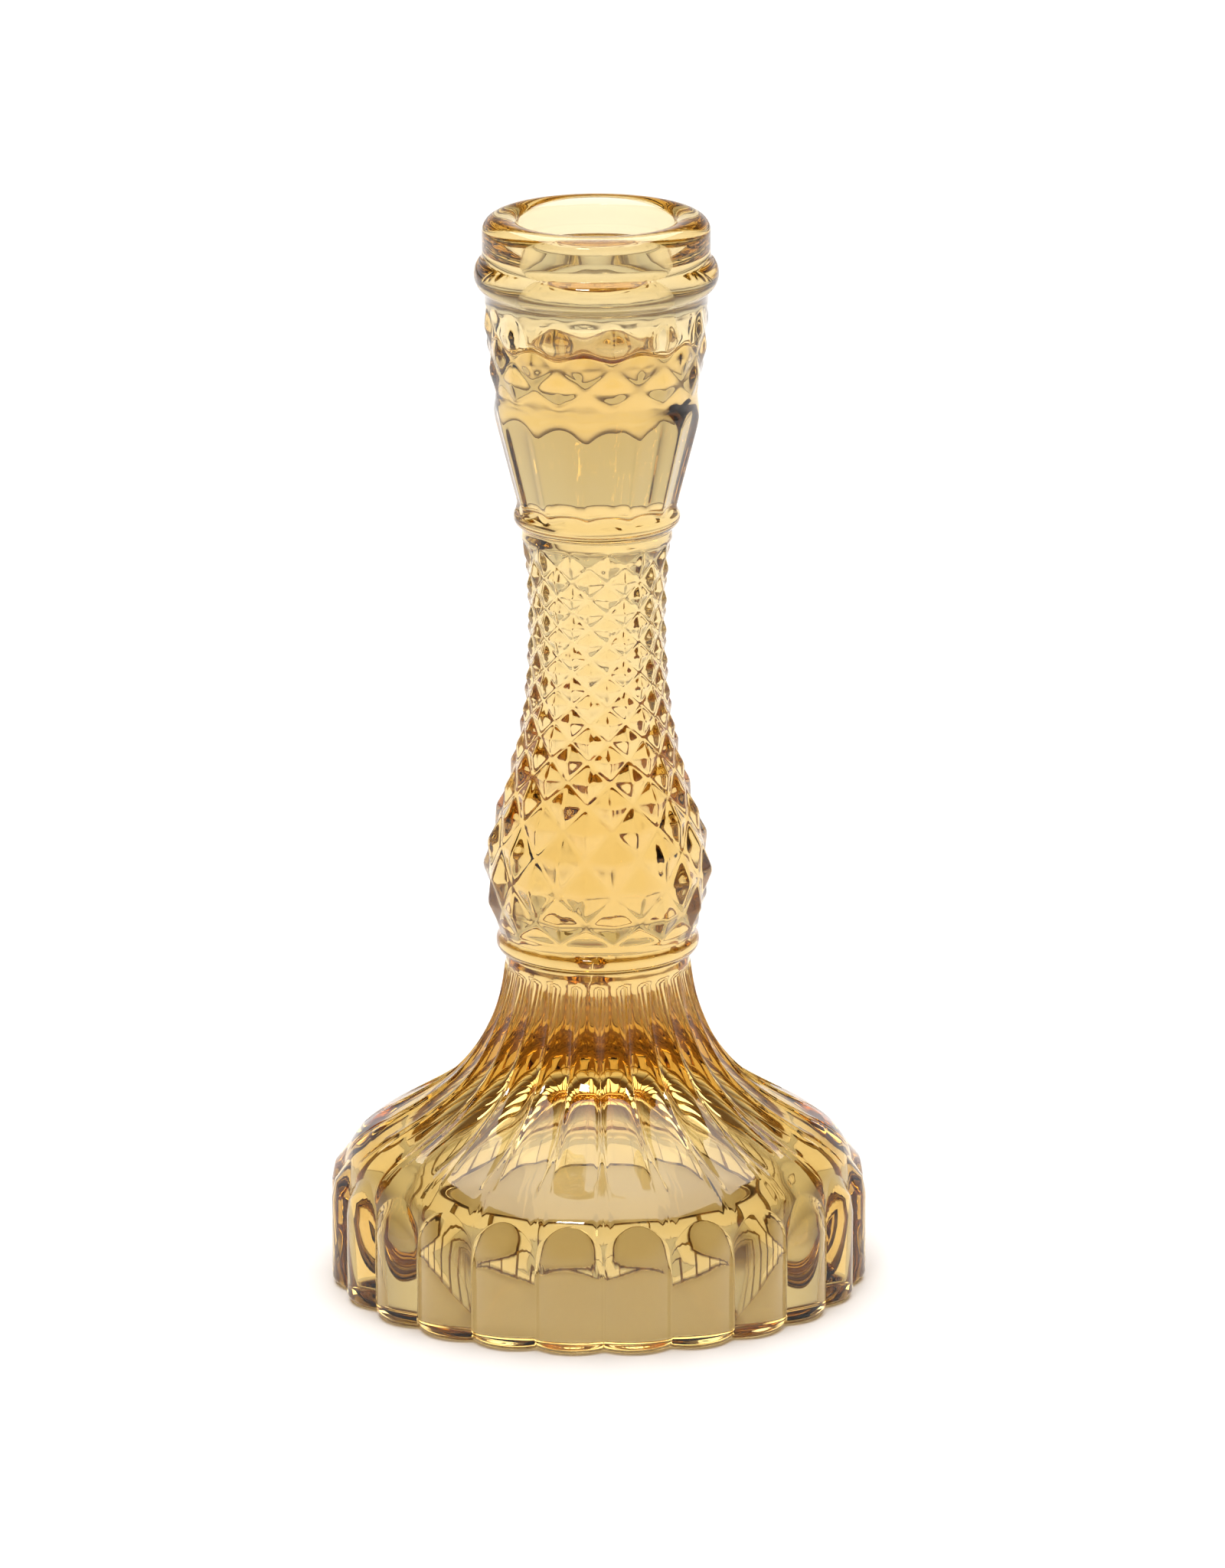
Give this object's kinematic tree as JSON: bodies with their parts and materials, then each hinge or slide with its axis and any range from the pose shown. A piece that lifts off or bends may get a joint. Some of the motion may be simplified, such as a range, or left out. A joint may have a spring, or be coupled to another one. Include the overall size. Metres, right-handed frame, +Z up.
{
  "type": "glass candlestick",
  "caption": "Tall pressed-glass candlestick with a candle bore in the top, a diamond-cut stem between two collars and a fluted, lobed foot.",
  "frame": {"origin": "centre of the ring that the foot stands on, at the base of the candlestick", "axes": "+Z up along the candlestick's axis, out of the candle bore; -Y is the front"},
  "size_m": [0.0814, 0.0814, 0.165],
  "materials": {
    "amber_glass": "clear honey-amber pressed glass, fire-polished"
  },
  "bodies": {
    "root": {"candle_socket": "amber_glass", "upper_collar": "amber_glass", "stem": "amber_glass", "lower_collar": "amber_glass", "foot": "amber_glass"}
  },
  "joints": []
}
